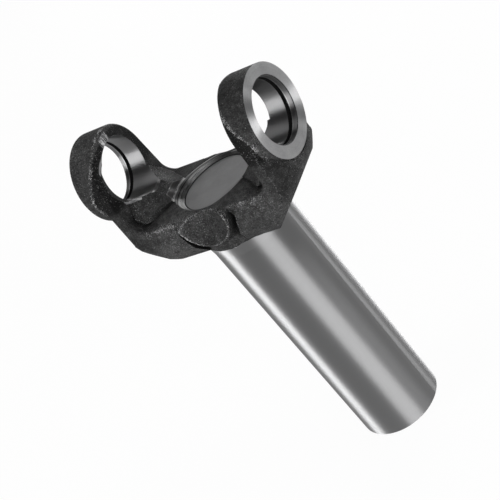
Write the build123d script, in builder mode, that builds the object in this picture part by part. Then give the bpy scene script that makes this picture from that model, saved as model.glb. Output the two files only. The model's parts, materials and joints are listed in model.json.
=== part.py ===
from build123d import *
import math
import os

os.makedirs("parts", exist_ok=True)

# Driving sizes, in millimetres and degrees.
# Z runs up the sleeve from its open end, X is the axis of the two eyes, Y crosses the saddle.
# A rise or a drop is measured from the top of the plug, which closes the sleeve under the saddle.
plug_top = 158.4
plug_diameter = 34.9
plug_thickness = 2.2
plug_chamfer = 0.4

sleeve_diameter = 42.9
sleeve_chamfer = 0.8
ground_gap = 0.5
spline_teeth = 31
spline_minor = 31.8
tooth_height = 1.1
tooth_flank = 30.0
spline_start = 14.0
pilot_gap = 1.0
pilot_chamfer = 1.0

eye_rise = 23.8
eye_width = 101.9
eye_bore = 30.2
eye_chamfer = 0.5
ear_thickness = 15.65
boss_wall = 6.2
boss_drop = 0.34
boss_depth = 9.0
face_margin = 0.25
ring_land = 2.85
ring_width = 2.1
ring_depth = 0.9
mouth_reach = 5.0
mouth_length = 4.0
mouth_flare = 2.0
crescent_inset = 2.7
crescent_margin = 3.1
crescent_shift = 5.6
clearance_inset = 0.5

draft = 7.0
arm_crown = 0.85
arm_ball_spread = 0.7
arm_slope = 39.0
arm_drop = 26.6
arm_corner = 17.0
flank_round = 5.5
flank_spread = 1.7
flank_drop = 3.4
lobe_spread = 3.3
lobe_drop = 8.9
lobe_foot_drop = 13.0
keel_half_width = 7.0
keel_shoulder_inset = 4.6
keel_shoulder_drop = 20.8
keel_round = 7.0
shoulder_drop = 8.4
shoulder_crown = 0.6
shoulder_crown_half_width = 4.0
shoulder_bend = 4.0
shoulder_bend_half_width = 14.6
shoulder_depth = 9.0
saddle_rise = 3.4
saddle_corner = 3.5
lip_round = 1.4
margin = 0.5
tolerance = 0.01

gusset_round = 20.0
gusset_crest = 4.0
gusset_reach = 14.0
gusset_root = 8.0
gusset_draft = 26.5

hub_spread = 1.35
hub_shoulder_drop = 15.9
hub_top_drop = 0.9
waist_top_half_width = 14.0
waist_half_width = 16.3
waist_shoulder_drop = 5.0
waist_foot_half_width = 11.0
waist_foot_drop = 20.0
waist_depth = 4.8
pad_radius = 13.3
pad_spread = 1.8
pad_drop = 1.4
pad_root = 8.4
pad_draft = 18.0
pad_shoulder = 4.9
pad_shoulder_drop = 2.8
scoop_radius = 12.4
scoop_depth = 6.1

seat_lip = 0.5
seat_step = 1.35
seat_step_rise = 1.5
seat_band = 2.15
seat_band_rise = 1.9
seat_cone = 4.45
seat_cone_rise = 2.8
seat_wall = 0.4
seat_mouth = 6.95
seat_mouth_rise = 5.3

# Sizes that follow from the driving ones.
plug_radius = plug_diameter / 2
plug_bottom = plug_top - plug_thickness
sleeve_radius = sleeve_diameter / 2
minor_radius = spline_minor / 2
major_radius = minor_radius + tooth_height
pilot_radius = major_radius + pilot_gap
hub_radius = sleeve_radius + hub_spread

eye_height = plug_top + eye_rise
bore_radius = eye_bore / 2
boss_radius = bore_radius + boss_wall
boss_height = eye_height - boss_drop
face_reach = eye_width / 2
ear_inner = face_reach - ear_thickness
ring_outer = face_reach - ring_land
ring_inner = ring_outer - ring_width
clearance_radius = ear_inner + clearance_inset

arm_outer = face_reach + arm_crown
arm_foot = plug_top - arm_drop
ground_end = arm_foot - ground_gap
arm_run = arm_outer - sleeve_radius
corner_height = arm_foot + arm_run * math.tan(math.radians(arm_slope))
saddle_floor = plug_top + saddle_rise
half_depth = boss_radius + lobe_spread
keel_shoulder = half_depth - keel_shoulder_inset
flank_half_width = boss_radius + flank_spread
flank_height = plug_top - flank_drop
headroom = 2 * boss_radius
outline_top = boss_height + headroom
reach = arm_outer + boss_depth
arm_ball_radius = math.hypot(face_reach, boss_radius) + arm_ball_spread

pad_reach = half_depth + pad_spread
pad_height = plug_top - pad_drop
pad_start = pad_reach - pad_root
pad_root_radius = pad_radius + pad_root * math.tan(math.radians(pad_draft))
pad_shoulder_reach = pad_reach - pad_shoulder
pad_shoulder_height = saddle_floor - pad_shoulder_reach * math.tan(math.radians(draft))
scoop_ball = (scoop_radius**2 + scoop_depth**2) / (2 * scoop_depth)
scoop_centre = pad_reach - scoop_depth + scoop_ball
gusset_centre = (ear_inner - gusset_round, saddle_floor + gusset_round)

# The flank line leaves the boss circle as a tangent.
flank_fall = boss_height - flank_height
flank_distance = math.hypot(flank_half_width, flank_fall)
flank_angle = math.acos(boss_radius / flank_distance) - math.atan2(flank_fall, flank_half_width)
flank_start = (boss_radius * math.cos(flank_angle), boss_height + boss_radius * math.sin(flank_angle))

# The spaces between the teeth are half the pitch wide halfway up their flanks.
space_middle = math.pi * (minor_radius + major_radius) / 2 / spline_teeth
space_taper = tooth_height * math.tan(math.radians(tooth_flank))


def at(vertex, x, y):
    return abs(abs(vertex.X) - x) < tolerance and abs(vertex.Y - y) < tolerance


def is_outer_edge(edge):
    c = edge.center()
    on_flank = abs(abs(c.Y) - half_depth) < tolerance
    return on_flank and c.Z < outline_top - tolerance


def is_lip(edge):
    c = edge.center()
    on_flank = abs(c.Y) > boss_radius - 1 and c.Z < boss_height
    at_floor = abs(c.X) < 1 and c.Z > flank_height + 1
    at_root = abs(abs(c.X) - ear_inner) < saddle_corner
    at_eye = abs(c.Y) > boss_radius / 2 and c.Z > boss_height
    return on_flank and (at_floor or at_root) or at_eye and at_root


with BuildPart() as slip_yoke:
    # Outside of the arms: one plate whose edges are rounded.
    with BuildSketch(Plane.XZ) as outside_outline:
        with BuildLine():
            Polyline(
                (0, arm_foot),
                (sleeve_radius, arm_foot),
                (arm_outer, corner_height),
                (arm_outer, outline_top),
                (0, outline_top),
            )
            mirror(about=Plane.YZ)
        make_face()
        fillet(outside_outline.vertices().filter_by(lambda v: at(v, arm_outer, corner_height)), arm_corner)
    extrude(amount=half_depth, both=True)
    fillet(slip_yoke.edges().filter_by(is_outer_edge), flank_round)

    # Inside of the U and the arms' outer faces, drafted both ways from the parting plane.
    with BuildSketch(Plane.XZ) as inside_outline:
        with BuildLine():
            Polyline(
                (0, arm_foot - headroom),
                (arm_outer, arm_foot - headroom),
                (arm_outer, outline_top + headroom),
                (ear_inner, outline_top + headroom),
                (ear_inner, saddle_floor),
                (0, saddle_floor),
            )
            mirror(about=Plane.YZ)
        make_face()
        fillet(inside_outline.vertices().filter_by(lambda v: at(v, ear_inner, saddle_floor)), saddle_corner)
    extrude(amount=half_depth + lip_round, both=True, taper=draft, mode=Mode.INTERSECT)

    # Side view of the arms: the boss circle over flanks that spread to the lobes, and a narrow keel.
    with BuildSketch(Plane.YZ) as side_outline:
        with BuildLine():
            Polyline(
                (0, boss_height),
                flank_start,
                (flank_half_width, flank_height),
                (half_depth + margin, plug_top - lobe_drop),
                (half_depth + margin, plug_top - lobe_foot_drop),
                (keel_shoulder, plug_top - keel_shoulder_drop),
                (keel_half_width, arm_foot - margin),
                (0, arm_foot - margin),
            )
            mirror(about=Plane.YZ)
        make_face()
        corners = side_outline.vertices()
        fillet(corners.filter_by(lambda v: at(v, half_depth + margin, plug_top - lobe_foot_drop)), keel_round)
        corners = side_outline.vertices()
        fillet(corners.filter_by(lambda v: at(v, keel_shoulder, plug_top - keel_shoulder_drop)), keel_round)
        with Locations((0, boss_height)):
            Circle(boss_radius)
    extrude(amount=reach, both=True, mode=Mode.INTERSECT)

    # The arms' outer corners fall away beside the eyes.
    with BuildSketch(Plane.XY.offset(plug_top - shoulder_drop)) as shoulder_outline:
        with BuildLine():
            ThreePointArc(
                (arm_outer - shoulder_crown, shoulder_crown_half_width),
                (arm_outer - shoulder_bend, shoulder_bend_half_width),
                (arm_outer - shoulder_depth, flank_half_width),
            )
            Polyline(
                (arm_outer - shoulder_depth, flank_half_width),
                (arm_outer - shoulder_depth, half_depth + boss_depth),
                (reach, half_depth + boss_depth),
                (reach, shoulder_crown_half_width),
                (arm_outer - shoulder_crown, shoulder_crown_half_width),
            )
        make_face()
        mirror(about=Plane.YZ)
        mirror(about=Plane.XZ)
    extrude(amount=outline_top - plug_top, mode=Mode.SUBTRACT)
    fillet(slip_yoke.edges().filter_by(is_lip), lip_round)

    # The arms' lower corners are rounded off to a ball about the middle of the eyes.
    with Locations((0, 0, boss_height)):
        Sphere(arm_ball_radius, mode=Mode.INTERSECT)

    # Gussets stiffen the roots of the arms.
    for side in (-1, 1):
        with BuildSketch(Plane.XZ.offset(-side * gusset_crest)) as gusset_outline:
            with BuildLine():
                curve = CenterArc(gusset_centre, gusset_round, 270, 90)
                Polyline(
                    curve @ 1,
                    (ear_inner + gusset_root, gusset_centre[1]),
                    (ear_inner + gusset_root, saddle_floor - gusset_root),
                    (gusset_centre[0], saddle_floor - gusset_root),
                    curve @ 0,
                )
            make_face()
            mirror(about=Plane.YZ)
        extrude(amount=side * gusset_crest)
        extrude(gusset_outline.sketch, amount=-side * gusset_reach, taper=gusset_draft)

    # Waist: the flanks are hollowed between the lobes and the pads.
    for side in (-1, 1):
        with BuildSketch(Plane.XZ.offset(-side * (half_depth - waist_depth))) as waist_outline:
            Polygon(
                (-waist_top_half_width, saddle_floor + waist_depth),
                (-waist_top_half_width, plug_top),
                (-waist_half_width, plug_top - waist_shoulder_drop),
                (-waist_foot_half_width, plug_top - waist_foot_drop),
                (-waist_foot_half_width, arm_foot - waist_depth),
                (waist_foot_half_width, arm_foot - waist_depth),
                (waist_foot_half_width, plug_top - waist_foot_drop),
                (waist_half_width, plug_top - waist_shoulder_drop),
                (waist_top_half_width, plug_top),
                (waist_top_half_width, saddle_floor + waist_depth),
                align=None,
            )
        extrude(amount=-side * 2 * waist_depth, mode=Mode.SUBTRACT)

    # Hub, which flares from just under the arms to carry the head, and the ground sleeve.
    with BuildSketch(Plane.XZ) as hub_outline:
        with BuildLine():
            Polyline(
                (0, 0),
                (sleeve_radius - sleeve_chamfer, 0),
                (sleeve_radius, sleeve_chamfer),
                (sleeve_radius, ground_end),
                (hub_radius, plug_top - hub_shoulder_drop),
                (hub_radius, plug_top - hub_top_drop),
                (0, plug_top - hub_top_drop),
                (0, 0),
            )
        make_face()
    revolve(axis=Axis.Z)

    # Pads on the saddle's sides, cut level with the drafted floor, each with a round scoop.
    for side in (-1, 1):
        with BuildSketch(Plane.XZ.offset(-side * pad_start)) as pad_outline:
            with Locations((0, pad_height)):
                Circle(pad_root_radius)
        extrude(amount=-side * pad_root, taper=pad_draft)
    with BuildSketch(Plane.YZ) as floor_outline:
        with BuildLine():
            Polyline(
                (0, saddle_floor),
                (pad_shoulder_reach, pad_shoulder_height),
                (pad_reach + pad_spread, plug_top - pad_shoulder_drop),
                (pad_reach + pad_spread, saddle_floor + pad_root_radius),
                (0, saddle_floor + pad_root_radius),
            )
            mirror(about=Plane.YZ)
        make_face()
    extrude(amount=waist_half_width, both=True, mode=Mode.SUBTRACT)
    for side in (-1, 1):
        with Locations((0, side * scoop_centre, pad_height)):
            Sphere(scoop_ball, mode=Mode.SUBTRACT)

    # Bosses of the eyes, out to their machined faces.
    for side in (-1, 1):
        with BuildSketch(Plane.YZ.offset(side * face_reach)) as boss_outline:
            with Locations((0, boss_height)):
                Circle(boss_radius)
        extrude(amount=-side * boss_depth)
        with BuildSketch(Plane.YZ.offset(side * face_reach)) as face_outline:
            with Locations((0, boss_height)):
                Circle(boss_radius + face_margin)
        extrude(amount=side * boss_depth, mode=Mode.SUBTRACT)

    # Turned clearance at the tips for the cross that swings between the eyes.
    with BuildSketch(Plane.XY.offset(eye_height)) as clearance_outline:
        Circle(clearance_radius)
    extrude(amount=headroom, mode=Mode.SUBTRACT)

    # Seat of the plug, turned down through the saddle floor.
    with BuildSketch(Plane.XZ) as seat_outline:
        with BuildLine():
            Polyline(
                (0, plug_bottom),
                (plug_radius, plug_bottom),
                (plug_radius, plug_top + seat_lip),
                (plug_radius + seat_step, plug_top + seat_step_rise - seat_lip),
                (plug_radius + seat_step, plug_top + seat_step_rise),
                (plug_radius + seat_band, plug_top + seat_band_rise),
                (plug_radius + seat_cone, plug_top + seat_cone_rise),
                (plug_radius + seat_cone, plug_top + seat_cone_rise + seat_wall),
                (plug_radius + seat_mouth, plug_top + seat_mouth_rise),
                (plug_radius + seat_mouth, eye_height),
                (0, eye_height),
                (0, plug_bottom),
            )
        make_face()
    revolve(axis=Axis.Z, mode=Mode.SUBTRACT)

    # Eye bores with their ring grooves, the mouths at both ends of each, and a relief beside the inner one.
    with BuildSketch(Plane.XZ.shift_origin((0, 0, eye_height))) as eye_outline:
        with BuildLine():
            Polyline(
                (0, 0),
                (0, bore_radius + mouth_flare),
                (ear_inner - mouth_reach - mouth_length, bore_radius + mouth_flare),
                (ear_inner - mouth_reach, bore_radius),
                (ring_inner, bore_radius),
                (ring_inner, bore_radius + ring_depth),
                (ring_outer, bore_radius + ring_depth),
                (ring_outer, bore_radius),
                (face_reach - eye_chamfer, bore_radius),
                (face_reach, bore_radius + eye_chamfer),
                (reach, bore_radius + eye_chamfer),
                (reach, 0),
                (0, 0),
            )
        make_face()
        mirror(about=Plane.YZ)
    revolve(axis=Axis((0, 0, eye_height), (1, 0, 0)), mode=Mode.SUBTRACT)
    for side in (-1, 1):
        with BuildSketch(Plane.YZ.offset(side * (ear_inner + crescent_inset))) as crescent_outline:
            with Locations((-crescent_shift, eye_height)):
                Circle(bore_radius - crescent_margin)
        extrude(amount=-side * 2 * crescent_inset, mode=Mode.SUBTRACT)

    # Spline right through the sleeve, relieved by a pilot bore at the open end.
    with BuildSketch(Plane.XY) as spline_outline:
        Circle(minor_radius)
        with PolarLocations(0, spline_teeth):
            Polygon(
                (minor_radius - tooth_height, -(space_middle + 3 * space_taper) / 2),
                (major_radius, -(space_middle - space_taper) / 2),
                (major_radius, (space_middle - space_taper) / 2),
                (minor_radius - tooth_height, (space_middle + 3 * space_taper) / 2),
                align=None,
            )
    extrude(amount=plug_bottom + plug_thickness / 2, mode=Mode.SUBTRACT)
    with BuildSketch(Plane.XZ) as pilot_outline:
        with BuildLine():
            Polyline(
                (0, 0),
                (pilot_radius + pilot_chamfer, 0),
                (pilot_radius, pilot_chamfer),
                (pilot_radius, spline_start),
                (0, spline_start),
                (0, 0),
            )
        make_face()
    revolve(axis=Axis.Z, mode=Mode.SUBTRACT)

slip_yoke.part.label = "slip_yoke"
export_step(slip_yoke.part, "parts/slip_yoke.step")

# Plug, a disc pressed into its seat on the ends of the spline's teeth.
with BuildPart() as expansion_plug:
    with BuildSketch(Plane.XY.offset(plug_bottom)) as plug_outline:
        Circle(plug_radius)
    extrude(amount=plug_thickness)
    chamfer(expansion_plug.edges().group_by(Axis.Z)[-1], plug_chamfer)

expansion_plug.part.label = "expansion_plug"
export_step(expansion_plug.part, "parts/expansion_plug.step")
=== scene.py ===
import json
import math

import bpy
from mathutils import Matrix, Vector


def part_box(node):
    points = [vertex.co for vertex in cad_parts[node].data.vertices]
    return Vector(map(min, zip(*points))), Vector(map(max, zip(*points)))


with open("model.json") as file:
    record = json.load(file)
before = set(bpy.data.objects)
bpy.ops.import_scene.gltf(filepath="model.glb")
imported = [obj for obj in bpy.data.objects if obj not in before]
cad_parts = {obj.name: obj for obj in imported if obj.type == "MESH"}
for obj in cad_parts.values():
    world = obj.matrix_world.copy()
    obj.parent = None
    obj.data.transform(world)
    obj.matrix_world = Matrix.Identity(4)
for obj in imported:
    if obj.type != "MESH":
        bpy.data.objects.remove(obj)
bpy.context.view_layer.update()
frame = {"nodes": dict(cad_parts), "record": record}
YOKE_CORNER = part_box("slip_yoke")[1]
PLUG_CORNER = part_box("expansion_plug")[1]
MOUNTS = {mount["name"]: mount for mount in frame["record"]["mounts"]}
EYE_BORE = MOUNTS["eye_bore"]
SLEEVE = MOUNTS["sleeve_outside"]
PILOT_BORE = MOUNTS["pilot_bore"]
MILLIMETRE = 0.001

# Sizes from the frame, in metres. Z runs up the sleeve from its open end and X is the axis of the two eyes.
SLEEVE_RADIUS = SLEEVE["dims"]["r_mm"] * MILLIMETRE
SLEEVE_TOP = SLEEVE["pos_m"][2] + SLEEVE["dims"]["length_mm"] / 2 * MILLIMETRE
PILOT_RADIUS = PILOT_BORE["dims"]["r_mm"] * MILLIMETRE
PLUG_TOP = PLUG_CORNER.z
PLUG_RADIUS = PLUG_CORNER.x
PAD_REACH = YOKE_CORNER.y
EYE_HEIGHT = EYE_BORE["pos_m"][2]
BORE_RADIUS = EYE_BORE["dims"]["r_mm"] * MILLIMETRE
BORE_END = EYE_BORE["dims"]["length_mm"] / 2 * MILLIMETRE

# What lies round the eyes: outer faces, ring grooves, inner mouths, reliefs and the turned clearance.
EYE_CHAMFER = 0.0005
EAR_THICKNESS = 0.01565
RING_LAND = 0.00285
RING_WIDTH = 0.0021
RING_DEPTH = 0.0009
MOUTH_REACH = 0.0050
MOUTH_SLOPE = 0.5
RELIEF_DEPTH = 0.0027
RELIEF_MARGIN = 0.0031
RELIEF_SHIFT = 0.0056
CLEARANCE_INSET = 0.0005
EYE_FACE = BORE_END + EYE_CHAMFER
INNER_FACE = EYE_FACE - EAR_THICKNESS
RING_OUTER = EYE_FACE - RING_LAND
RING_INNER = RING_OUTER - RING_WIDTH
RING_RADIUS = BORE_RADIUS + RING_DEPTH
MOUTH_START = INNER_FACE - MOUTH_REACH
RELIEF_FACE = INNER_FACE + RELIEF_DEPTH
RELIEF_RADIUS = BORE_RADIUS - RELIEF_MARGIN
CLEARANCE_RADIUS = INNER_FACE + CLEARANCE_INSET

# The scoops in the side pads are parts of a ball.
SCOOP_RADIUS = 0.0124
SCOOP_DEPTH = 0.0061
SCOOP_DROP = 0.0014
SCOOP_BALL = (SCOOP_RADIUS**2 + SCOOP_DEPTH**2) / (2 * SCOOP_DEPTH)
SCOOP_CENTRE = PAD_REACH - SCOOP_DEPTH + SCOOP_BALL
SCOOP_HEIGHT = PLUG_TOP - SCOOP_DROP

# Turned profile of the plug's seat: distances out from the plug's edge and up from its top.
SEAT_PROFILE = (
    (0.0, 0.0005),
    (0.00135, 0.0010),
    (0.00135, 0.0015),
    (0.00215, 0.0019),
    (0.00445, 0.0028),
    (0.00445, 0.0032),
    (0.00695, 0.0053),
)
SEAT_MOUTH = PLUG_RADIUS + SEAT_PROFILE[-1][0]
WALL_SLANT = 0.00002

# Widths over which one finish gives way to the next.
CRISP = 0.00005
SKIN = 0.00006
SHARP = 0.0001

# Most of a noise lies between these values.
USUAL = (0.3, 0.7)

# Inputs and output of a mix node, by the kind of value that it mixes.
MIX_SOCKETS = {"FLOAT": (2, 3, 0), "VECTOR": (4, 5, 1), "RGBA": (6, 7, 2)}


def grey(tone):
    """A grey with a trace of blue."""
    blueness = 1.01
    return (tone, tone, tone * blueness, 1.0)


class Nodes:
    """Nodes of one material, wired by short calls. A value is a number, a tuple or a node's socket."""

    def __init__(self, tree):
        self.tree = tree

    def new(self, kind):
        return self.tree.nodes.new(kind)

    def put(self, socket, value):
        if isinstance(value, (int, float, tuple)):
            socket.default_value = value
        else:
            self.tree.links.new(value, socket)

    def calc(self, operation, *values):
        node = self.new("ShaderNodeMath")
        node.operation = operation
        for socket, value in zip(node.inputs, values):
            self.put(socket, value)
        return node.outputs[0]

    def chain(self, operation, values):
        result = values[0]
        for value in values[1:]:
            result = self.calc(operation, result, value)
        return result

    def plus(self, *values):
        return self.chain("ADD", values)

    def minus(self, *values):
        return self.chain("SUBTRACT", values)

    def times(self, *values):
        return self.chain("MULTIPLY", values)

    def all_of(self, *masks):
        return self.chain("MULTIPLY", masks)

    def any_of(self, *masks):
        return self.chain("MAXIMUM", masks)

    def length(self, a, b):
        return self.calc("SQRT", self.plus(self.times(a, a), self.times(b, b)))

    def line(self, value, start, end, level_start, level_end, interpolation="LINEAR"):
        """Goes straight from one level to another while the value goes from start to end."""
        node = self.new("ShaderNodeMapRange")
        node.interpolation_type = interpolation
        self.put(node.inputs["Value"], value)
        self.put(node.inputs["From Min"], start)
        self.put(node.inputs["From Max"], end)
        self.put(node.inputs["To Min"], level_start)
        self.put(node.inputs["To Max"], level_end)
        return node.outputs["Result"]

    def ramp(self, value, start, end, level_start=0.0, level_end=1.0):
        """Turns smoothly from one level to another while the value goes from start to end."""
        return self.line(value, start, end, level_start, level_end, "SMOOTHSTEP")

    def band(self, value, low, high, soft):
        """One between two values, and nought beyond a soft margin outside them."""
        return self.all_of(self.ramp(value, low - soft, low), self.ramp(value, high + soft, high))

    def mix(self, factor, first, second, kind="FLOAT"):
        first_input, second_input, output = MIX_SOCKETS[kind]
        node = self.new("ShaderNodeMix")
        node.data_type = kind
        self.put(node.inputs[0], factor)
        self.put(node.inputs[first_input], first)
        self.put(node.inputs[second_input], second)
        return node.outputs[output]

    def mix_colour(self, factor, first, second):
        return self.mix(factor, first, second, "RGBA")

    def mix_vector(self, factor, first, second):
        return self.mix(factor, first, second, "VECTOR")

    def combine(self, x, y, z):
        node = self.new("ShaderNodeCombineXYZ")
        for socket, value in zip(node.inputs, (x, y, z)):
            self.put(socket, value)
        return node.outputs[0]

    def noise(self, coordinates, cells, detail, roughness=0.5):
        """Noise with a number of cells in a metre."""
        node = self.new("ShaderNodeTexNoise")
        self.put(node.inputs["Vector"], coordinates)
        self.put(node.inputs["Scale"], cells)
        self.put(node.inputs["Detail"], detail)
        self.put(node.inputs["Roughness"], roughness)
        return node.outputs["Fac"]

    def bevel(self, radius, samples):
        """The surface's direction as if its edges were rounded."""
        node = self.new("ShaderNodeBevel")
        node.samples = samples
        self.put(node.inputs["Radius"], radius)
        return node.outputs["Normal"]

    def bump(self, height, distance, normal=None):
        node = self.new("ShaderNodeBump")
        self.put(node.inputs["Height"], height)
        self.put(node.inputs["Distance"], distance)
        self.put(node.inputs["Strength"], 1.0)
        if normal is not None:
            self.put(node.inputs["Normal"], normal)
        return node.outputs["Normal"]


class Spot:
    """Where a point of the part lies, measured the ways that the finishes need."""

    def __init__(self, n):
        self.place = n.new("ShaderNodeTexCoord").outputs["Object"]
        split = n.new("ShaderNodeSeparateXYZ")
        n.put(split.inputs[0], self.place)
        self.x, self.y, self.z = split.outputs
        self.wide = n.calc("ABSOLUTE", self.x)
        self.deep = n.calc("ABSOLUTE", self.y)
        self.rise = n.minus(self.z, EYE_HEIGHT)
        self.from_axis = n.length(self.x, self.y)
        self.from_eye = n.length(self.y, self.rise)


class Grain:
    """The grain of the steel, from slow to fine. The wander lies about nought."""

    def __init__(self, n, spot):
        self.patches = n.noise(spot.place, cells=60.0, detail=4.0, roughness=0.55)
        self.wander = n.minus(n.noise(spot.place, cells=180.0, detail=3.0), 0.5)
        self.lumps = n.noise(spot.place, cells=420.0, detail=6.0, roughness=0.62)
        self.pits = n.noise(spot.place, cells=1500.0, detail=5.0, roughness=0.75)
        self.grit = n.noise(spot.place, cells=2600.0, detail=2.0, roughness=0.6)


# Ground sleeve: the end of the ground length climbs towards the sides of the saddle, up a hub that flares.
GROUND_END = SLEEVE_TOP + 0.0009
GROUND_RISE = 0.0045
GROUND_WANDER = 0.0016
CLIMB_START = 0.45
CLIMB_END = 0.92
HUB_START = SLEEVE_TOP - 0.0003
HUB_END = SLEEVE_TOP + 0.0077
HUB_SPREAD = 0.0009
HUB_SKIN = 0.0002
LEAST_RADIUS = 0.001


def on_sleeve(n, spot, grain):
    sideways = n.calc("DIVIDE", spot.y, n.calc("MAXIMUM", spot.from_axis, LEAST_RADIUS))
    sideways = n.calc("ABSOLUTE", sideways)
    end = n.plus(GROUND_END, n.times(n.ramp(sideways, CLIMB_START, CLIMB_END), GROUND_RISE))
    end = n.plus(end, n.times(grain.wander, GROUND_WANDER))
    below = n.ramp(n.minus(spot.z, end), SHARP, -SHARP)
    radius = n.minus(spot.from_axis, n.times(n.ramp(spot.z, HUB_START, HUB_END), HUB_SPREAD))
    skin = SLEEVE_RADIUS + HUB_SKIN
    return n.all_of(below, n.ramp(radius, skin + CRISP, skin))


# Eyes: their machined faces, their bores, and the mouths and reliefs towards the middle.
FACE_RADIUS = BORE_RADIUS + 0.00635
BORE_START = MOUTH_START - 0.0038
MOUTH_END = MOUTH_START - 0.0041
MOUTH_RIM = BORE_RADIUS + 0.0006
MOUTH_FADE = 0.0004
RELIEF_REACH = BORE_RADIUS + 0.0029
RELIEF_EDGE = -0.0095
RELIEF_FADE = 0.0005


def on_faces(n, spot):
    return n.all_of(n.ramp(spot.wide, EYE_FACE - 2 * SKIN, EYE_FACE - SKIN),
                    n.ramp(spot.from_eye, FACE_RADIUS + CRISP, FACE_RADIUS))


def on_bores(n, spot):
    return n.all_of(n.ramp(spot.from_eye, BORE_RADIUS + 2 * SKIN, BORE_RADIUS + SKIN),
                    n.ramp(spot.wide, BORE_START, BORE_START + SHARP))


def in_grooves(n, spot):
    return n.all_of(n.band(spot.wide, RING_INNER - CRISP, RING_OUTER + CRISP, CRISP),
                    n.band(spot.from_eye, BORE_RADIUS + 3 * CRISP, RING_RADIUS + CRISP, CRISP))


def on_mouths(n, spot):
    flare = n.plus(spot.from_eye, n.times(n.minus(spot.wide, MOUTH_START), MOUTH_SLOPE))
    return n.all_of(n.band(flare, BORE_RADIUS - SHARP, BORE_RADIUS + SHARP, SHARP),
                    n.ramp(spot.from_eye, MOUTH_RIM + MOUTH_FADE, MOUTH_RIM),
                    n.ramp(spot.wide, MOUTH_END, MOUTH_END + 2 * SHARP))


def on_reliefs(n, spot):
    return n.all_of(n.band(spot.wide, RELIEF_FACE - CRISP, RELIEF_FACE + CRISP, CRISP),
                    n.ramp(spot.from_eye, RELIEF_REACH + 2 * SHARP, RELIEF_REACH),
                    n.ramp(spot.y, RELIEF_EDGE, RELIEF_EDGE - RELIEF_FADE))


# A thin painted highlight on one side of each inner mouth: along the relief, then on under the bore.
EDGE_INWARD = 0.0020
EDGE_OUTWARD = 0.0018
EDGE_SOFT = 0.0003
RELIEF_EDGE_INNER = RELIEF_RADIUS + 0.0006
RELIEF_EDGE_OUTER = RELIEF_RADIUS + 0.0014
RELIEF_EDGE_START = -0.0070
RELIEF_EDGE_FULL = -0.0110
BORE_EDGE_INNER = BORE_RADIUS + 0.0004
BORE_EDGE_OUTER = BORE_RADIUS + 0.0012
BORE_EDGE_TOP = -0.0090
BORE_EDGE_FULL = -0.0100
BORE_EDGE_LEFT = -0.0110
BORE_EDGE_RIGHT = 0.0030
BORE_EDGE_SOFT = 0.0020


def on_painted_edge_highlights(n, spot):
    from_relief = n.length(n.plus(spot.y, RELIEF_SHIFT), spot.rise)
    by_relief = n.all_of(n.band(from_relief, RELIEF_EDGE_INNER, RELIEF_EDGE_OUTER, EDGE_SOFT),
                         n.ramp(spot.y, RELIEF_EDGE_START, RELIEF_EDGE_FULL))
    under_bore = n.all_of(n.band(spot.from_eye, BORE_EDGE_INNER, BORE_EDGE_OUTER, EDGE_SOFT),
                          n.ramp(spot.rise, BORE_EDGE_TOP, BORE_EDGE_FULL),
                          n.band(spot.y, BORE_EDGE_LEFT, BORE_EDGE_RIGHT, BORE_EDGE_SOFT))
    near_face = n.band(spot.wide, INNER_FACE - EDGE_INWARD, INNER_FACE + EDGE_OUTWARD, SHARP)
    return n.all_of(n.any_of(by_relief, under_bore), near_face)


# Turned tips of the ears, where the clearance cut has left a bright patch.
TIP_FOOT = EYE_HEIGHT + 0.0128
TIP_FOOT_FADE = 0.0010
TIP_CREST = EYE_HEIGHT + 0.0196
TIP_CREST_FADE = 0.0008
TIP_LEFT = -0.0040
TIP_RIGHT = 0.0070
TIP_SOFT = 0.0015


def on_tips(n, spot):
    return n.all_of(n.band(spot.from_axis, CLEARANCE_RADIUS - SHARP, CLEARANCE_RADIUS + SHARP, SHARP),
                    n.ramp(spot.z, TIP_FOOT, TIP_FOOT + TIP_FOOT_FADE),
                    n.ramp(spot.z, TIP_CREST, TIP_CREST - TIP_CREST_FADE),
                    n.band(spot.y, TIP_LEFT, TIP_RIGHT, TIP_SOFT))


# Seat of the plug. On the saddle's +Y side its rings run on over the floor inside the skim radius.
SEAT_SKIN = 0.00012
SEAT_SOFT = 0.00004
SKIM_START = 0.0040
SKIM_RADIUS = PLUG_RADIUS + 0.00455
SKIM_LOW = PLUG_TOP + 0.0003
SKIM_HIGH = PLUG_TOP + 0.0040
SKIM_SOFT = 0.0002


def on_seat(n, spot):
    above = n.minus(spot.z, PLUG_TOP + SEAT_PROFILE[0][1])
    for (inner, foot), (outer, crest) in zip(SEAT_PROFILE, SEAT_PROFILE[1:]):
        outer = max(outer, inner + WALL_SLANT)
        step = n.line(spot.from_axis, PLUG_RADIUS + inner, PLUG_RADIUS + outer, 0.0, crest - foot)
        above = n.minus(above, step)
    turned = n.band(above, -SEAT_SKIN, SEAT_SKIN, SEAT_SOFT)
    skimmed = n.all_of(n.ramp(spot.y, 0.0, SKIM_START),
                       n.ramp(spot.from_axis, SKIM_RADIUS + CRISP, SKIM_RADIUS),
                       n.band(spot.z, SKIM_LOW, SKIM_HIGH, SKIM_SOFT))
    reach = n.all_of(n.ramp(spot.from_axis, PLUG_RADIUS - 2 * SHARP, PLUG_RADIUS - SHARP),
                     n.ramp(spot.from_axis, SEAT_MOUTH + SHARP, SEAT_MOUTH))
    return n.all_of(n.any_of(turned, skimmed), reach)


# Inside of the sleeve and its open end.
INSIDE_RADIUS = PILOT_RADIUS + 0.0008
INSIDE_FADE = 0.001
END_HEIGHT = 0.0007


def inside_sleeve(n, spot):
    return n.all_of(n.ramp(spot.from_axis, INSIDE_RADIUS + 2 * SHARP, INSIDE_RADIUS),
                    n.ramp(spot.z, PLUG_TOP, PLUG_TOP - INSIDE_FADE))


def at_open_end(n, spot):
    return n.ramp(spot.z, END_HEIGHT + 2 * SHARP, END_HEIGHT)
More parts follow.
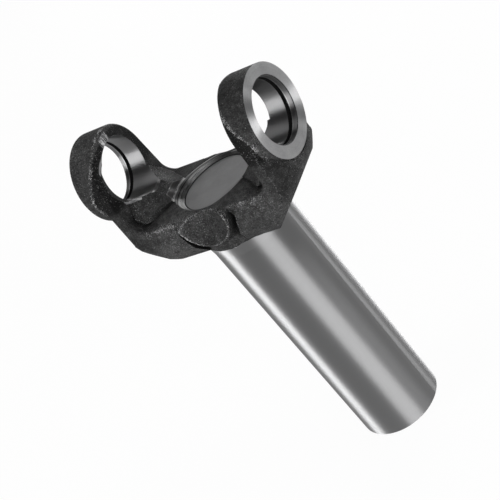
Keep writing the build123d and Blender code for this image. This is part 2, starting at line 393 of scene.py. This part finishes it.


# Lips round the scoops, the saddle and the ears, painted lighter with specks: painted glints along their
# rough edges, and some rubbed wear.
SCOOP_LIP = 0.0024
SADDLE_LIP_DEPTH = PAD_REACH - 0.0021
SADDLE_LIP_HEIGHT = PLUG_TOP + 0.0006
SADDLE_LIP_CORE = 0.0010
SADDLE_LIP_WIDTH = 0.0030
SADDLE_LIP_START = 0.0180
SADDLE_LIP_END = 0.0320
SADDLE_LIP_SOFT = 0.0040
LIP_CELLS = 260.0
LIP_GAP = 0.38
LIP_WHOLE = 0.60
LIP_LEAST = 0.45

# On an ear the lip is a slanting line over the rim, from the tip down to the height of the eye.
EAR_LINE_TOP = 0.0185
EAR_LINE_TIP = CLEARANCE_RADIUS
EAR_LINE_FOOT = EYE_FACE - 0.00495
EAR_LIP_INWARD = 0.0004
EAR_LIP_OUTWARD = 0.0006
EAR_LIP_SOFT = 0.0012
RIM_START = BORE_RADIUS + 0.0044
RIM_FULL = BORE_RADIUS + 0.0057
EAR_FOOT = EYE_HEIGHT + 0.0078
EAR_FOOT_FADE = 0.0030

# Inward of that line the rim of the ear is in shade.
SHADE_START = 0.0002
SHADE_FULL = -0.0008
SHADE_RADIUS = BORE_RADIUS + 0.0089
SHADE_RADIUS_FADE = 0.0020
SHADE_FOOT = EYE_HEIGHT - 0.0122
SHADE_FOOT_FADE = 0.0060


def past_ear_line(n, spot):
    ear_line = n.line(spot.rise, EAR_LINE_TOP, 0.0, EAR_LINE_TIP, EAR_LINE_FOOT)
    return n.minus(spot.wide, ear_line)


def on_wear_and_glint_lips(n, spot):
    from_ball = n.length(spot.x, n.minus(spot.z, SCOOP_HEIGHT))
    from_ball = n.length(from_ball, n.minus(spot.deep, SCOOP_CENTRE))
    scoop_lip = n.all_of(n.ramp(from_ball, SCOOP_BALL, SCOOP_BALL + SHARP),
                         n.ramp(from_ball, SCOOP_BALL + SCOOP_LIP, SCOOP_BALL + 2 * SHARP))
    from_corner = n.length(n.minus(spot.deep, SADDLE_LIP_DEPTH), n.minus(spot.z, SADDLE_LIP_HEIGHT))
    saddle_lip = n.all_of(n.ramp(from_corner, SADDLE_LIP_WIDTH, SADDLE_LIP_CORE),
                          n.band(spot.wide, SADDLE_LIP_START, SADDLE_LIP_END, SADDLE_LIP_SOFT))
    on_rim = n.all_of(n.ramp(spot.from_eye, RIM_START, RIM_FULL),
                      n.ramp(n.plus(spot.deep, spot.z), EAR_FOOT, EAR_FOOT + EAR_FOOT_FADE))
    by_ear_line = n.band(past_ear_line(n, spot), -EAR_LIP_INWARD, EAR_LIP_OUTWARD, EAR_LIP_SOFT)
    ear_lip = n.all_of(by_ear_line, on_rim)
    broken = n.ramp(n.noise(spot.place, LIP_CELLS, detail=2.0), LIP_GAP, LIP_WHOLE, LIP_LEAST, 1.0)
    return n.times(n.any_of(scoop_lip, saddle_lip, ear_lip), broken)


def in_ear_shade(n, spot):
    return n.all_of(n.ramp(past_ear_line(n, spot), SHADE_START, SHADE_FULL),
                    n.ramp(spot.from_eye, SHADE_RADIUS + SHADE_RADIUS_FADE, SHADE_RADIUS),
                    n.ramp(spot.z, SHADE_FOOT, SHADE_FOOT + SHADE_FOOT_FADE))


# The saddle's floor, which has fewer specks.
FLOOR_DEPTH = 0.0185
FLOOR_DEPTH_FADE = 0.0020
FLOOR_WIDTH = 0.0290
FLOOR_WIDTH_FADE = 0.0030
FLOOR_HEIGHT = PLUG_TOP + 0.0046
FLOOR_HEIGHT_FADE = 0.0010


def on_saddle_floor(n, spot):
    return n.all_of(n.ramp(spot.deep, FLOOR_DEPTH + FLOOR_DEPTH_FADE, FLOOR_DEPTH),
                    n.ramp(spot.wide, FLOOR_WIDTH + FLOOR_WIDTH_FADE, FLOOR_WIDTH),
                    n.ramp(spot.z, FLOOR_HEIGHT + FLOOR_HEIGHT_FADE, FLOOR_HEIGHT))


# Rough scale: its tone, the painted shade that darkens it in hollows, and how many light specks its edges,
# lips and patches have, partly rubbed wear and partly painted glints.
EDGE_ROUND = 0.0016
EDGE_SAMPLES = 6
EDGE_FLAT = 0.995
EDGE_TURNED = 0.92
HOLLOW_SIZE = 0.022
HOLLOW_SAMPLES = 6
HOLLOW_SHADE_OPENNESS = (0.52, 1.0)
HOLLOW_SHADE_SHARE = (0.08, 1.3)
SPECK_OPENNESS = (0.30, 0.90)
SCALE_TONES = (0.019, 0.042)
PIT_SHARE = (0.5, 1.5)
LUMP_SHARE = (0.6, 1.4)
EAR_SHADE_SHARE = 0.15
LIP_SPECKS = 0.085
EDGE_SPECKS = 0.055
PATCH_SPECKS = 0.16
FLOOR_SPECKS = 0.06
SPECK_START = 0.565
SPECK_FULL = 0.68
SPECK_WEAR_AND_GLINT_TONE = 0.28
LIP_WEAR_AND_GLINT_TONE = 0.50
SPECK_ROUGHNESS = 0.42
SCALE_ROUGHNESS = (0.55, 0.75)
LUMP_HEIGHT = 0.8
PIT_HEIGHT = 0.6


def scale_finish(n, spot, grain, rounded):
    """Colour, roughness and height of forged scale, with painted shade darkening its hollows, and light
    specks on its edges that are partly rubbed wear and partly painted glints.
    """
    turn = n.new("ShaderNodeVectorMath")
    turn.operation = "DOT_PRODUCT"
    n.put(turn.inputs[0], rounded)
    n.put(turn.inputs[1], n.new("ShaderNodeNewGeometry").outputs["Normal"])
    edges = n.ramp(turn.outputs["Value"], EDGE_FLAT, EDGE_TURNED)
    # Occlusion paints shade into the hollows of the scale and keeps its light specks out of them.
    hollow_shade = n.new("ShaderNodeAmbientOcclusion")
    hollow_shade.samples = HOLLOW_SAMPLES
    hollow_shade.only_local = True
    n.put(hollow_shade.inputs["Distance"], HOLLOW_SIZE)
    openness = hollow_shade.outputs["AO"]

    lips = on_wear_and_glint_lips(n, spot)
    density = n.any_of(n.times(lips, LIP_SPECKS), n.times(edges, EDGE_SPECKS))
    density = n.plus(density, n.times(n.minus(grain.patches, 0.5), PATCH_SPECKS))
    density = n.minus(density, n.times(on_saddle_floor(n, spot), FLOOR_SPECKS))
    fine = n.times(n.plus(grain.pits, grain.grit), 0.5)
    specks = n.ramp(n.plus(fine, density), SPECK_START, SPECK_FULL)
    # Specks are kept to open places, as the painted glints among them would be.
    specks = n.all_of(specks, n.ramp(openness, *SPECK_OPENNESS))

    # Painted shade: the tone darkens in hollows, and on the ear's rim inward of its line.
    tone = n.times(n.ramp(grain.pits, *USUAL, *PIT_SHARE),
                   n.ramp(grain.lumps, *USUAL, *LUMP_SHARE),
                   n.ramp(grain.patches, *USUAL, *SCALE_TONES),
                   n.ramp(openness, *HOLLOW_SHADE_OPENNESS, *HOLLOW_SHADE_SHARE),
                   n.ramp(in_ear_shade(n, spot), 0.0, 1.0, 1.0, EAR_SHADE_SHARE))
    # The specks' colour: painted glints in part and rubbed wear in part, lightest on the lips.
    wear_and_glint_colour = n.mix_colour(lips, grey(SPECK_WEAR_AND_GLINT_TONE), grey(LIP_WEAR_AND_GLINT_TONE))
    colour = n.mix_colour(specks, n.combine(tone, tone, tone), wear_and_glint_colour)
    roughness = n.mix(specks, n.mix(grain.lumps, *SCALE_ROUGHNESS), SPECK_ROUGHNESS)
    height = n.plus(n.times(grain.lumps, LUMP_HEIGHT), n.times(grain.pits, PIT_HEIGHT))
    return colour, roughness, height


# Turned marks run round the axis of the cut, in cells for each metre across them.
MARK_WANDER = 0.00006
FACE_MARK_CELLS = 5200.0
FACE_BAND_CELLS = 900.0
AXIS_MARK_CELLS = 4200.0
SLEEVE_BAND_CELLS = 300.0
BORE_MARK_CELLS = 3000.0


class Marks:
    """Turned marks: rings on flat faces, and lines round a sleeve or a bore."""

    def __init__(self, n, spot, grain):
        wander = n.times(grain.wander, MARK_WANDER)
        eye_rings = n.combine(n.plus(spot.from_eye, wander), 0.0, 0.0)
        axis_rings = n.combine(n.plus(spot.from_axis, wander), 0.0, spot.z)
        up_sleeve = n.combine(0.0, 0.0, spot.z)
        down_bore = n.combine(spot.wide, 0.0, 0.0)
        self.face = n.noise(eye_rings, FACE_MARK_CELLS, detail=3.0, roughness=0.7)
        self.face_bands = n.noise(eye_rings, FACE_BAND_CELLS, detail=3.0, roughness=0.6)
        self.axis = n.noise(axis_rings, AXIS_MARK_CELLS, detail=3.0, roughness=0.7)
        self.sleeve_bands = n.noise(up_sleeve, SLEEVE_BAND_CELLS, detail=3.0, roughness=0.6)
        self.bore = n.noise(down_bore, BORE_MARK_CELLS, detail=3.0, roughness=0.6)


# Tones of the bare metal.
FACE_TONES = (0.30, 0.50)
FACE_SMEAR_CELLS = 110.0
FACE_SMEAR_TONE = 0.56
FACE_SMEAR_SHARE = 0.5
FACE_GRIT_TONE = 0.22
FACE_GRIT_SHARE = 0.25
FACE_GRIT_START = 0.45
FACE_GRIT_FULL = 0.65
SLEEVE_TONES = (0.34, 0.38)
BORE_TONES = (0.16, 0.26)
LAND_TONE = 0.17
GLINT_TONE = 0.30
GLINT_START = RING_OUTER + 0.0001
GLINT_END = RING_OUTER + 0.0004
# Painted shade: the ring grooves are near black.
GROOVE_SHADE_TONE = 0.006
# Tone of the painted highlight by each inner mouth.
EDGE_HIGHLIGHT_TONE = 0.50

# The seat has painted shade on its near side, and rings of painted highlight and painted shade at its
# steps: inner and outer radius, softness and tone.
SEAT_TONES = (0.08, 0.22)
SEAT_HIGHLIGHT_AND_SHADE_RINGS = (
    (0.0214, 0.0219, 0.0002, 0.45),
    (0.0188, 0.0193, 0.0001, 0.22),
    (0.0242, 0.0245, 0.0001, 0.30),
    (0.0199, 0.0202, 0.0001, 0.01),
)
SEAT_NEAR = -0.0140
SEAT_FAR = -0.0040
SEAT_NEAR_SHADE = 0.30

# The tips have bright strokes along their cut.
STROKE_CELLS = 350.0
STROKE_SQUEEZE = 4.0
STROKE_START = 0.40
STROKE_FULL = 0.62
STROKE_TONES = (0.04, 0.42)


def mixed_grey(n, factor, tones):
    low, high = tones
    return n.mix_colour(factor, grey(low), grey(high))


def face_colour(n, spot, grain, marks):
    colour = mixed_grey(n, marks.face_bands, FACE_TONES)
    smear = n.noise(n.combine(spot.y, spot.rise, 0.0), FACE_SMEAR_CELLS, detail=2.0)
    colour = n.mix_colour(n.ramp(smear, *USUAL, 0.0, FACE_SMEAR_SHARE), colour, grey(FACE_SMEAR_TONE))
    grit = n.times(n.ramp(grain.grit, FACE_GRIT_START, FACE_GRIT_FULL), FACE_GRIT_SHARE)
    return n.mix_colour(grit, colour, grey(FACE_GRIT_TONE))


def bore_colour(n, spot, marks, bores):
    colour = mixed_grey(n, marks.bore, BORE_TONES)
    land = n.all_of(bores, n.ramp(spot.wide, RING_OUTER, RING_OUTER + SHARP))
    colour = n.mix_colour(land, colour, grey(LAND_TONE))
    # A painted highlight: a thin glint just outside each groove.
    glint = n.band(spot.wide, GLINT_START, GLINT_END, SHARP)
    return n.mix_colour(glint, colour, grey(GLINT_TONE))


def seat_colour(n, spot, marks):
    tone = n.mix(marks.axis, *SEAT_TONES)
    # Rings of painted highlight and painted shade at the seat's steps.
    for inner, outer, soft, ring_tone in SEAT_HIGHLIGHT_AND_SHADE_RINGS:
        tone = n.mix(n.band(spot.from_axis, inner, outer, soft), tone, ring_tone)
    # Painted shade over the seat's near side.
    tone = n.times(tone, n.ramp(spot.y, SEAT_NEAR, SEAT_FAR, SEAT_NEAR_SHADE, 1.0))
    return n.combine(tone, tone, tone)


def tip_colour(n, spot):
    along = n.combine(n.times(spot.y, STROKE_SQUEEZE), 0.0, spot.z)
    strokes = n.noise(along, STROKE_CELLS, detail=4.0, roughness=0.7)
    return mixed_grey(n, n.ramp(strokes, STROKE_START, STROKE_FULL), STROKE_TONES)


# Gloss and relief of the steel.
GLOSS = 0.07
METAL_ROUGHNESS = 0.40
SLEEVE_ROUGHNESS = (0.51, 0.57)
FACE_ROUGHNESS = 0.60
BORE_ROUGHNESS = 0.36
FACE_MARK_HEIGHT = 0.045
AXIS_MARK_HEIGHT = 0.030
BUMP_DISTANCE = 0.0012
METAL_EDGE_ROUND = 0.00025
METAL_EDGE_SAMPLES = 4


def new_material(name):
    material = bpy.data.materials.new(name)
    material.use_nodes = True
    tree = material.node_tree
    return material, Nodes(tree), tree.nodes["Principled BSDF"]


def make_steel(name):
    """Rough forged scale, with the turned and ground places marked off by where they lie."""
    material, n, shader = new_material(name)
    spot = Spot(n)
    grain = Grain(n, spot)
    marks = Marks(n, spot, grain)
    sleeve = on_sleeve(n, spot, grain)
    faces = on_faces(n, spot)
    bores = on_bores(n, spot)
    grooves = in_grooves(n, spot)
    edge_highlight = on_painted_edge_highlights(n, spot)
    tips = on_tips(n, spot)
    seat = on_seat(n, spot)
    ends = at_open_end(n, spot)
    machined = n.any_of(faces, seat, tips, ends, bores, sleeve, on_mouths(n, spot), on_reliefs(n, spot),
                        inside_sleeve(n, spot), edge_highlight)

    metal_colour = n.mix_colour(tips, seat_colour(n, spot, marks), tip_colour(n, spot))
    # Painted highlight along one side of each inner mouth.
    metal_colour = n.mix_colour(edge_highlight, metal_colour, grey(EDGE_HIGHLIGHT_TONE))
    metal_colour = n.mix_colour(sleeve, metal_colour, mixed_grey(n, marks.sleeve_bands, SLEEVE_TONES))
    metal_colour = n.mix_colour(faces, metal_colour, face_colour(n, spot, grain, marks))
    metal_colour = n.mix_colour(bores, metal_colour, bore_colour(n, spot, marks, bores))
    metal_roughness = n.mix(sleeve, METAL_ROUGHNESS, n.mix(marks.sleeve_bands, *SLEEVE_ROUGHNESS))
    metal_roughness = n.mix(faces, metal_roughness, FACE_ROUGHNESS)
    metal_roughness = n.mix(bores, metal_roughness, BORE_ROUGHNESS)
    metal_height = n.mix(sleeve, n.times(marks.axis, AXIS_MARK_HEIGHT), 0.0)
    metal_height = n.mix(faces, metal_height, n.times(marks.face, FACE_MARK_HEIGHT))

    rounded = n.bevel(EDGE_ROUND, EDGE_SAMPLES)
    scale_colour, scale_roughness, scale_height = scale_finish(n, spot, grain, rounded)
    colour = n.mix_colour(machined, scale_colour, metal_colour)
    # Painted shade in the ring grooves.
    colour = n.mix_colour(grooves, colour, grey(GROOVE_SHADE_TONE))
    n.put(shader.inputs["Base Color"], colour)
    n.put(shader.inputs["Metallic"], n.times(machined, n.minus(1.0, grooves)))
    n.put(shader.inputs["Roughness"], n.mix(machined, scale_roughness, metal_roughness))
    n.put(shader.inputs["Specular IOR Level"], GLOSS)
    n.put(shader.inputs["Anisotropic"], machined)

    # Light spreads across the marks: along the sleeve and its bores, and outwards on the turned faces.
    spread = n.combine(0.0, 0.0, 1.0)
    spread = n.mix_vector(n.any_of(seat, ends), spread, n.combine(spot.x, spot.y, 0.0))
    spread = n.mix_vector(faces, spread, n.combine(0.0, spot.y, spot.rise))
    spread = n.mix_vector(bores, spread, n.combine(1.0, 0.0, 0.0))
    n.put(shader.inputs["Tangent"], spread)

    normal = n.mix_vector(machined, rounded, n.bevel(METAL_EDGE_ROUND, METAL_EDGE_SAMPLES))
    height = n.mix(machined, scale_height, metal_height)
    n.put(shader.inputs["Normal"], n.bump(height, BUMP_DISTANCE, normal))
    return material


# Plug: a satin pressed disc, clouded, with a dark line round its edge.
PLUG_TONES = (0.20, 0.37)
PLUG_CLOUD_CELLS = 90.0
PLUG_GRAIN_CELLS = 2600.0
PLUG_RIM_START = PLUG_RADIUS - 0.0007
PLUG_RIM_FULL = PLUG_RADIUS - 0.0003
PLUG_RIM_TONE = 0.012
PLUG_METALLIC = 0.9
PLUG_ROUGHNESS = (0.46, 0.58)
PLUG_BUMP = 0.00003


def make_plug(name):
    material, n, shader = new_material(name)
    spot = Spot(n)
    cloud = n.noise(spot.place, PLUG_CLOUD_CELLS, detail=6.0, roughness=0.6)
    grain = n.noise(spot.place, PLUG_GRAIN_CELLS, detail=3.0, roughness=0.6)
    rim = n.ramp(spot.from_axis, PLUG_RIM_START, PLUG_RIM_FULL)
    colour = n.mix_colour(rim, mixed_grey(n, cloud, PLUG_TONES), grey(PLUG_RIM_TONE))
    n.put(shader.inputs["Base Color"], colour)
    n.put(shader.inputs["Metallic"], PLUG_METALLIC)
    n.put(shader.inputs["Roughness"], n.mix(grain, *PLUG_ROUGHNESS))
    n.put(shader.inputs["Normal"], n.bump(grain, PLUG_BUMP))
    return material


finishes = {"slip_yoke": make_steel("forged_steel"), "expansion_plug": make_plug("plug_steel")}
for node, finish in finishes.items():
    slots = frame["nodes"][node].data.materials
    slots.clear()
    slots.append(finish)

# The camera, fitted to the view in the part's own frame: its place, and the ways its sides point.
CAMERA_PLACE = Vector((0.36384, -0.41235, 0.41711))
CAMERA_RIGHT = Vector((0.76997, 0.2847, -0.57104))
CAMERA_TOP = Vector((0.23697, 0.70334, 0.67019))
CAMERA_BACK = Vector((0.59244, -0.65135, 0.47409))
CAMERA_LENS = 97.755
CAMERA_SENSOR = 36.0
CAMERA_NEAR = 0.01

camera = bpy.data.cameras.new("camera")
camera.lens = CAMERA_LENS
camera.sensor_width = CAMERA_SENSOR
camera.clip_start = CAMERA_NEAR
camera_object = bpy.data.objects.new("camera", camera)
bpy.context.collection.objects.link(camera_object)
camera_turn = Matrix((CAMERA_RIGHT, CAMERA_TOP, CAMERA_BACK)).transposed()
camera_object.matrix_world = Matrix.Translation(CAMERA_PLACE) @ camera_turn.to_4x4()
bpy.context.scene.camera = camera_object

# Soft boxes that look at the middle of the part: wide ones below the camera and behind, a tall one to the
# left, a narrow strip that draws the thin line on the sleeve, and two from above.
MIDDLE = Vector((0.0, 0.0, 0.13))


def soft_box(name, azimuth, elevation, distance, width, height, power):
    """A rectangular lamp at a bearing and a height in degrees. Lengths are in metres and power in watts."""
    lamp = bpy.data.lights.new(name, "AREA")
    lamp.shape = "RECTANGLE"
    lamp.size = width
    lamp.size_y = height
    lamp.energy = power
    lamp_object = bpy.data.objects.new(name, lamp)
    bpy.context.collection.objects.link(lamp_object)
    bearing = math.radians(azimuth)
    tilt = math.radians(elevation)
    level = math.cos(tilt)
    towards = Vector((math.cos(bearing) * level, math.sin(bearing) * level, math.sin(tilt)))
    lamp_object.location = MIDDLE + towards * distance
    lamp_object.rotation_euler = towards.to_track_quat("Z", "Y").to_euler()


soft_box("near_camera", azimuth=-46.0, elevation=9.0, distance=1.2, width=0.9, height=0.6, power=12.0)
soft_box("left", azimuth=-148.0, elevation=6.0, distance=1.2, width=0.45, height=0.7, power=11.0)
soft_box("behind", azimuth=100.0, elevation=12.0, distance=1.2, width=0.9, height=0.6, power=8.5)
soft_box("strip", azimuth=47.0, elevation=6.0, distance=1.2, width=0.045, height=0.7, power=1.6)
soft_box("overhead", azimuth=0.0, elevation=88.0, distance=1.3, width=1.0, height=1.0, power=4.4)
soft_box("high_right", azimuth=13.0, elevation=58.0, distance=1.2, width=0.5, height=0.4, power=2.4)

# Dim grey all round.
WORLD_TONE = 0.12

world = bpy.data.worlds.new("world")
bpy.context.scene.world = world
world.use_nodes = True
sky = world.node_tree.nodes["Background"]
sky.inputs["Color"].default_value = (WORLD_TONE, WORLD_TONE, WORLD_TONE, 1.0)
sky.inputs["Strength"].default_value = 1.0

# A pale floor under the open end of the sleeve, nearly white to the camera and in the metal.
FLOOR_SIZE = 6.0
FLOOR_TONE = 0.85
FLOOR_ROUGHNESS = 0.9
FLOOR_GLOSS = 0.1
FLOOR_WHITE = 0.95


def make_floor_material(name):
    material, n, shader = new_material(name)
    n.put(shader.inputs["Base Color"], (FLOOR_TONE, FLOOR_TONE, FLOOR_TONE, 1.0))
    n.put(shader.inputs["Roughness"], FLOOR_ROUGHNESS)
    n.put(shader.inputs["Specular IOR Level"], FLOOR_GLOSS)
    white = n.new("ShaderNodeEmission")
    ray = n.new("ShaderNodeLightPath")
    seen = n.any_of(ray.outputs["Is Camera Ray"], ray.outputs["Is Glossy Ray"],
                    ray.outputs["Is Transmission Ray"])
    blend = n.new("ShaderNodeMixShader")
    n.put(blend.inputs[0], n.times(seen, FLOOR_WHITE))
    n.put(blend.inputs[1], shader.outputs[0])
    n.put(blend.inputs[2], white.outputs[0])
    n.put(n.tree.nodes["Material Output"].inputs["Surface"], blend.outputs[0])
    return material


bpy.ops.mesh.primitive_plane_add(size=FLOOR_SIZE, location=(0.0, 0.0, 0.0))
floor = bpy.context.object
floor.name = "floor"
floor.data.materials.append(make_floor_material("floor"))

bpy.context.scene.view_settings.view_transform = "Standard"
